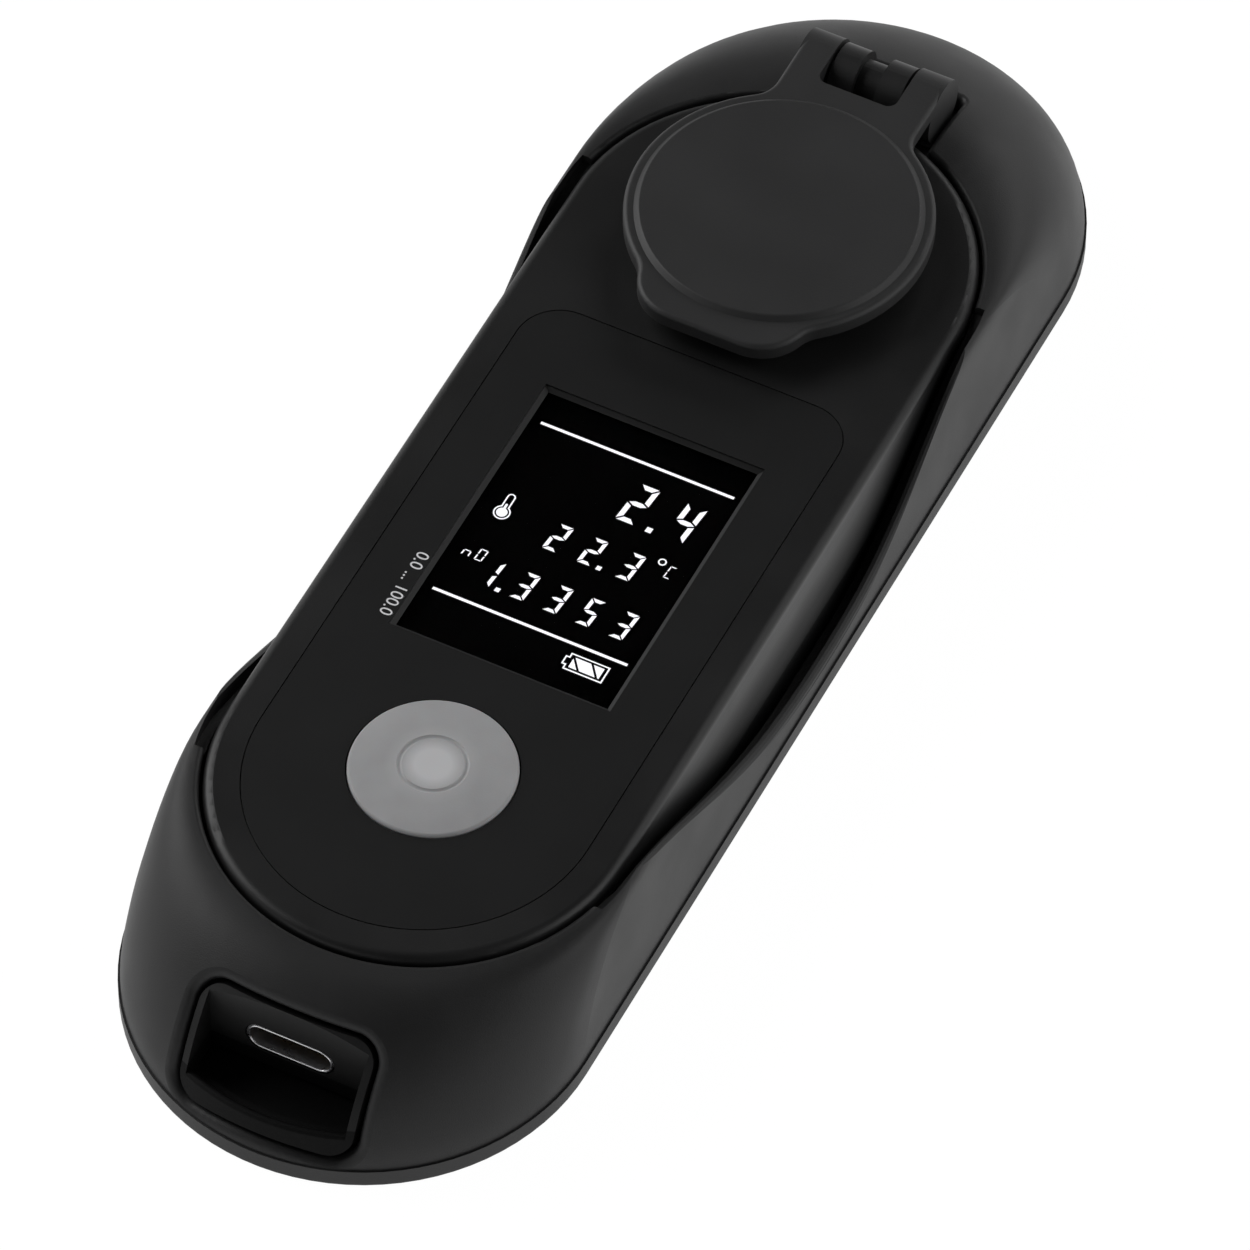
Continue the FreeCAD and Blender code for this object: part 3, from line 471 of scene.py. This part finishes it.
def add_patch(name, finish, x_low, x_high, y_low, y_high, layer=0, lean=0.0):
    """A lit or black patch in millimetres, with its upper edge moved by lean."""
    patch = add_plane(
        name, (x_low + rows_x) * mm, (x_high + rows_x) * mm,
        (y_low + rows_y) * mm, (y_high + rows_y) * mm, layer_z(layer))
    middle = ((y_low + y_high) / 2 + rows_y) * mm
    edit(patch)
    pick(patch, lambda co: co.y > middle)
    bpy.ops.transform.translate(value=(lean * mm, 0, 0))
    thicken(patch, layer_height)
    settle(patch, finish)


def add_disc(name, finish, x, y, radius, layer=0):
    bpy.ops.object.select_all(action="DESELECT")
    middle = ((x + rows_x) * mm, (y + rows_y) * mm, layer_z(layer))
    bpy.ops.mesh.primitive_circle_add(vertices=48, radius=radius * mm, fill_type="NGON", location=middle)
    disc = bpy.context.object
    disc.name = name
    edit(disc)
    thicken(disc, layer_height)
    settle(disc, finish)


line_half = 10.15
add_patch("upper_line", lit, -line_half, line_half, 4.45, 4.75)
add_patch("lower_line", lit, -line_half, line_half, -17.85, -17.55)

# Each decimal point: row, middle in X and in Y, and half its width
point_lean = 0.04
points = [("upper", 4.72, -2.42, 0.3), ("middle", 2.58, -8.62, 0.24), ("lower", -4.68, -15.2, 0.24)]
for row, x, y, half in points:
    add_patch(row + "_point", lit, x - half, x + half, y - half, y + half, 0, point_lean)
degree_x = 7.58
degree_y = -5.28
add_disc("degree_ring", lit, degree_x, degree_y, 0.42)
add_disc("degree_ring_middle", panel, degree_x, degree_y, 0.27, 1)

# Thermometer sign: an outlined bulb and stem with a filled bulb and column inside
stem_x = -8.5
stem_half = 0.42
stem_top = -4.75
column_top = -5.75
bulb_y = -6.75
bulb_radius = 0.84
# Each layer, from the panel up: name, finish, inset from the outline and top of the stem
thermometer = [
    ("outline", lit, 0, stem_top),
    ("hollow", panel, 0.14, stem_top),
    ("column", lit, 0.3, column_top),
]
for index, (name, finish, inset, top) in enumerate(thermometer):
    half = stem_half - inset
    add_disc("thermometer_bulb_" + name, finish, stem_x, bulb_y, bulb_radius - inset, index)
    add_patch("thermometer_stem_" + name, finish, stem_x - half, stem_x + half, bulb_y, top, index)
    add_disc("thermometer_tip_" + name, finish, stem_x, top, half, index)

# Battery sign: an outlined cell with a nub and slanting filled bars
add_patch("battery_sign_nub", lit, 4.55, 4.95, -20.25, -19.2)
add_patch("battery_sign_nub_hollow", panel, 4.7, 5.1, -20.1, -19.35, 1)
add_patch("battery_sign_body", lit, 4.9, 8.95, -20.75, -18.72)
add_patch("battery_sign_hollow", panel, 5.05, 8.8, -20.6, -18.87, 1)
add_patch("battery_sign_fill", lit, 5.35, 8.5, -20.38, -19.1, 2)
gap_width = 0.28
gap_lean = -1.0
for index, x in enumerate((6.2, 8.1)):
    add_patch("battery_sign_gap_" + str(index + 1), panel, x, x + gap_width, -20.39, -19.09, 3, gap_lean)

# Round key: matt grey silicone skin over a rigid core, with a faint ring round its centre.
# Light from the lamps soaks a little into the skin, and the centre is painted brighter as a painted
# highlight.
key = Finish("grey_key")
reach = key.away(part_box("key_cap"))
painted_centre_highlight = key.ramp(reach, 1.7 * mm, 3.2 * mm, 1, 0)
ring = key.ramp(reach, 3.0 * mm, 3.2 * mm, 0, 1) * key.ramp(reach, 3.3 * mm, 4.6 * mm, 1, 0)
grain = key.noise(0.18 * mm)
cloud = key.noise(7 * mm, 3.0)
tone = key.mix(key.spread(cloud, 0, 1), grey(0.33), grey(0.39))
# Painted highlight: the centre's colour is lifted to a lighter grey.
tone = key.mix(painted_centre_highlight * 0.7, tone, grey(0.66))
key.set(
    Base_Color=key.mix(ring * 0.4, tone, grey(0.46)),
    Roughness=key.spread(grain, 0.5, 0.6),
    Subsurface_Weight=0.1,
    Subsurface_Scale=0.5 * mm,
    Normal=key.bump(grain, 0.008 * mm),
)
dress(key, "key_cap")

# Charging port: a drawn and nickel-plated steel shell round a moulded tongue.
plate = Finish("port_plating")
drawn = plate.noise(0.8 * mm, 3.0)
plate.set(
    Base_Color=plate.mix(plate.spread(drawn, 0, 1), grey(0.7), grey(0.8)),
    Metallic=1.0,
    Roughness=plate.spread(drawn, 0.26, 0.34),
)
dress(plate, "port_shell")
tongue = Finish("tongue_plastic")
grain = tongue.noise(0.1 * mm)
tongue.set(
    Base_Color=tongue.mix(tongue.spread(grain, 0, 1), grey(0.06), grey(0.09)),
    Roughness=tongue.spread(grain, 0.4, 0.5),
)
dress(tongue, "port_tongue")

# Port rim: the shell's mouth is rolled over to a fine polished bead.
# It follows the shell's slot outline.
port_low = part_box("port_shell")[0]
shell_half_height = 1.63 * mm
port_z = port_low[2] + shell_half_height
rim_radius = 1.48 * mm
rim_straight = 2.84 * mm
bead_radius = 0.13 * mm
bpy.ops.object.select_all(action="DESELECT")
bpy.ops.mesh.primitive_circle_add(
    vertices=48, radius=rim_radius, location=(0, port_low[1], port_z), rotation=(math.pi / 2, 0, 0))
rim = bpy.context.object
rim.name = "port_rim"
bpy.ops.object.transform_apply(location=True, rotation=True, scale=True)
edit(rim)
for side in (-1, 1):
    pick(rim, lambda co: co.x * side > 0.01 * mm)
    bpy.ops.transform.translate(value=(side * rim_straight, 0, 0))
bpy.ops.object.mode_set(mode="OBJECT")
bpy.ops.object.convert(target="CURVE")
rim.data.bevel_depth = bead_radius
rim.data.bevel_resolution = 4
bpy.ops.object.convert(target="MESH")
edit(rim)
bpy.ops.mesh.normals_make_consistent(inside=False)
bpy.ops.object.mode_set(mode="OBJECT")
bpy.ops.object.shade_smooth()
settle(rim, plate)

# Contacts: twelve gold-plated strips on each side of the tongue, half a millimetre apart.
contact_width = 0.26 * mm
contact_length = 3.4 * mm
contact_height = 0.03 * mm
contact_pitch = 0.5 * mm
contact_count = 12
contact_inset = 0.35 * mm
tongue_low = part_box("port_tongue")[0]
tongue_half = 0.35 * mm
gold = Finish("contact_gold")
worn = gold.noise(0.3 * mm, 3.0)
gold.set(
    Base_Color=gold.mix(gold.spread(worn, 0, 1), (0.8, 0.55, 0.22, 1), (0.9, 0.68, 0.34, 1)),
    Metallic=1.0,
    Roughness=gold.spread(worn, 0.2, 0.35),
)
first_x = -contact_pitch * (contact_count - 1) / 2
contact_low = tongue_low[1] + contact_inset
contacts = add_plane(
    "port_contacts", first_x - contact_width / 2, first_x + contact_width / 2,
    contact_low, contact_low + contact_length, port_z + tongue_half)
edit(contacts)
bpy.ops.mesh.bevel(offset=contact_width / 3, affect="VERTICES", segments=2)
thicken(contacts, contact_height)
row = contacts.modifiers.new("row", "ARRAY")
row.use_relative_offset = False
row.use_constant_offset = True
row.constant_offset_displace = (contact_pitch, 0, 0)
row.count = contact_count
bpy.ops.object.modifier_apply(modifier="row")
under = contacts.copy()
under.data = contacts.data.copy()
under.name = "port_contacts_under"
bpy.context.scene.collection.objects.link(under)
under.location = (0, 0, -2 * tongue_half - contact_height)
settle(contacts, gold)
settle(under, gold)

# Circuit boards: green lacquered laminate with fine copper tracks under the lacquer.
board = Finish("board_laminate")
tracks = board.node("ShaderNodeTexBrick", {"offset": 0.37, "squash": 0.7}, {
    "Vector": board.place(), "Scale": 1 / (3 * mm), "Mortar Size": 0.03}, "Fac")
weave = board.noise(0.3 * mm)
lacquer = board.mix(board.spread(weave, 0, 1), (0.012, 0.07, 0.03, 1), (0.016, 0.09, 0.04, 1))
board.set(
    Base_Color=board.mix(tracks, lacquer, (0.05, 0.17, 0.07, 1)),
    Roughness=board.spread(weave, 0.3, 0.4),
    Normal=board.bump(tracks, 0.02 * mm),
)
dress(board, "main_board", "led_board", "sensor_board")

# Chips and coils: black moulded packages on the boards.
chip = Finish("chip_plastic")
grain = chip.noise(0.08 * mm, 3.0)
chip.set(
    Base_Color=chip.mix(chip.spread(grain, 0, 1), grey(0.02), grey(0.035)),
    Roughness=chip.spread(grain, 0.5, 0.65),
    Normal=chip.bump(grain, 0.01 * mm),
)
dress(chip, "board_components", "image_sensor")

# Battery: a lithium pouch of crimped silver foil, glued to the housing's floor.
foil = Finish("battery_foil")
crease = foil.noise(3 * mm, 5.0)
foil.set(
    Base_Color=foil.mix(foil.spread(crease, 0, 1), grey(0.6), grey(0.72)),
    Metallic=1.0,
    Roughness=foil.spread(crease, 0.28, 0.42),
    Normal=foil.bump(crease, 0.15 * mm),
)
dress(foil, "battery")

# Flex cable: amber polyimide film with copper lines inside.
flex = Finish("flex_film")
across = flex.node("ShaderNodeSeparateXYZ", {}, {0: flex.place()})
lines = flex.ramp((across * (math.tau / (0.5 * mm))).sine(), -0.2, 0.2, 0, 1)
flex.set(
    Base_Color=flex.mix(lines, (0.35, 0.14, 0.02, 1), (0.55, 0.27, 0.06, 1)),
    Roughness=flex.spread(flex.noise(1 * mm), 0.25, 0.35),
)
dress(flex, "flex_cable")

# Sample dish: turned stainless steel, with the tool's fine rings still in the bowl.
dish = Finish("turned_steel")
reach = dish.away(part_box("sample_dish"))
wander = dish.noise(2 * mm)
rings = (reach * (math.tau / (0.16 * mm)) + wander * 3.0).sine()
dish.set(
    Base_Color=dish.mix(dish.spread(wander, 0, 1), grey(0.55), grey(0.64)),
    Metallic=1.0,
    Roughness=dish.ramp(rings, -1, 1, 0.2, 0.3),
    Normal=dish.bump(rings, 0.002 * mm),
)
dress(dish, "sample_dish")

# Prism, lens and lamp: polished optical glass and a clear cast resin.
optic = Finish("optic_glass")
optic.set(
    Base_Color=(0.9, 0.95, 0.94, 1),
    Transmission_Weight=1.0,
    IOR=1.6,
    Roughness=optic.spread(optic.noise(0.6 * mm), 0.0, 0.03),
)
dress(optic, "prism", "collimator_lens")
resin = Finish("lamp_resin")
resin.set(
    Base_Color=(0.9, 0.82, 0.55, 1),
    Transmission_Weight=0.9,
    IOR=1.5,
    Roughness=resin.spread(resin.noise(0.8 * mm), 0.05, 0.15),
)
dress(resin, "led")

# Flip cap: a stiff moulding in black plastic with a finely blasted top.
# Its hinge ears turn on a steel pin.
cap = Finish("cap_plastic")
grain = cap.noise(0.2 * mm)
cloud = cap.noise(10 * mm, 3.0)
cap.set(
    Base_Color=cap.mix(cap.spread(cloud, 0, 1), grey(0.016), grey(0.019)),
    Roughness=cap.spread(cloud, 0.5, 0.56),
    Specular_IOR_Level=0.4,
    Normal=cap.bump(grain, 0.012 * mm),
)
dress(cap, "flip_cap")

# Studio: a white table, a soft lamp on each of the four sides, and a room that is bright
# near the table and dark overhead. The table glows for the camera and in reflections, and
# keeps a share of its shadow.
table_size = 6.0
table_glow = 1.03
glow_share = 0.96
bpy.ops.object.select_all(action="DESELECT")
bpy.ops.mesh.primitive_plane_add(size=table_size)
floor = bpy.context.object
floor.name = "floor"
table = Finish("table")
table.set(
    Base_Color=table.mix(table.spread(table.noise(300 * mm), 0, 1), grey(0.78), grey(0.82)),
    Roughness=0.7,
)
rays = table.tree.nodes.new("ShaderNodeLightPath")
seen = Wire(table, rays.outputs["Is Camera Ray"]) + Wire(table, rays.outputs["Is Glossy Ray"])
seen = seen + Wire(table, rays.outputs["Is Transmission Ray"])
white = table.node("ShaderNodeEmission", {}, {"Color": (1, 1, 1, 1), "Strength": table_glow})
blend = table.node("ShaderNodeMixShader", {}, {
    0: seen * glow_share, 1: Wire(table, table.shader.outputs[0]), 2: white})
table.join(blend, table.tree.nodes["Material Output"].inputs["Surface"])
floor.data.materials.append(table.material)


def add_lamp(name, place, width, height, power):
    """A soft lamp of the given size in metres and power in watts, which faces the part."""
    data = bpy.data.lights.new(name, "AREA")
    data.shape = "RECTANGLE"
    data.size = width
    data.size_y = height
    data.energy = power
    made = bpy.data.objects.new(name, data)
    bpy.context.scene.collection.objects.link(made)
    made.location = place
    made.rotation_euler = Vector(place).to_track_quat("Z", "Y").to_euler()


add_lamp("right lamp", (0.75, 0.18, 0.45), 0.7, 0.7, 3.0)
add_lamp("left lamp", (-0.75, 0.05, 0.5), 0.7, 0.7, 6.2)
add_lamp("back lamp", (0.2, 0.95, 0.45), 0.8, 0.5, 2.7)
add_lamp("front lamp", (-0.25, -0.9, 0.32), 0.7, 0.4, 0.8)

# Room: its light fades with height, and towards the part's two ends
horizon_light = 0.75
ceiling_light = 0.005
ceiling_height = 0.5
ends_share = 0.12
ends_reach = 0.2
sides_reach = 0.8
world = bpy.data.worlds.new("studio")
bpy.context.scene.world = world
world.use_nodes = True
room = world.node_tree


def room_node(kind, settings, inputs, output=0):
    made = room.nodes.new(kind)
    for key, value in settings.items():
        setattr(made, key, value)
    for key, value in inputs.items():
        if isinstance(value, bpy.types.NodeSocket):
            room.links.new(value, made.inputs[key])
        else:
            made.inputs[key].default_value = value
    return made.outputs[output]


def room_fade(value, start, end, low, high):
    return room_node("ShaderNodeMapRange", {}, {
        "Value": value, "From Min": start, "From Max": end, "To Min": low, "To Max": high})


direction = room_node("ShaderNodeTexCoord", {}, {}, "Generated")
height = room_node("ShaderNodeSeparateXYZ", {}, {0: direction}, "Z")
across = room_node("ShaderNodeSeparateXYZ", {}, {0: direction}, "X")
sideways = room_node("ShaderNodeMath", {"operation": "ABSOLUTE"}, {0: across})
strength = room_node("ShaderNodeMath", {"operation": "MULTIPLY"}, {
    0: room_fade(height, 0.0, ceiling_height, horizon_light, ceiling_light),
    1: room_fade(sideways, ends_reach, sides_reach, ends_share, 1.0)})
room.links.new(strength, room.nodes["Background"].inputs["Strength"])
room.nodes["Background"].inputs["Color"].default_value = (1, 1, 1, 1)
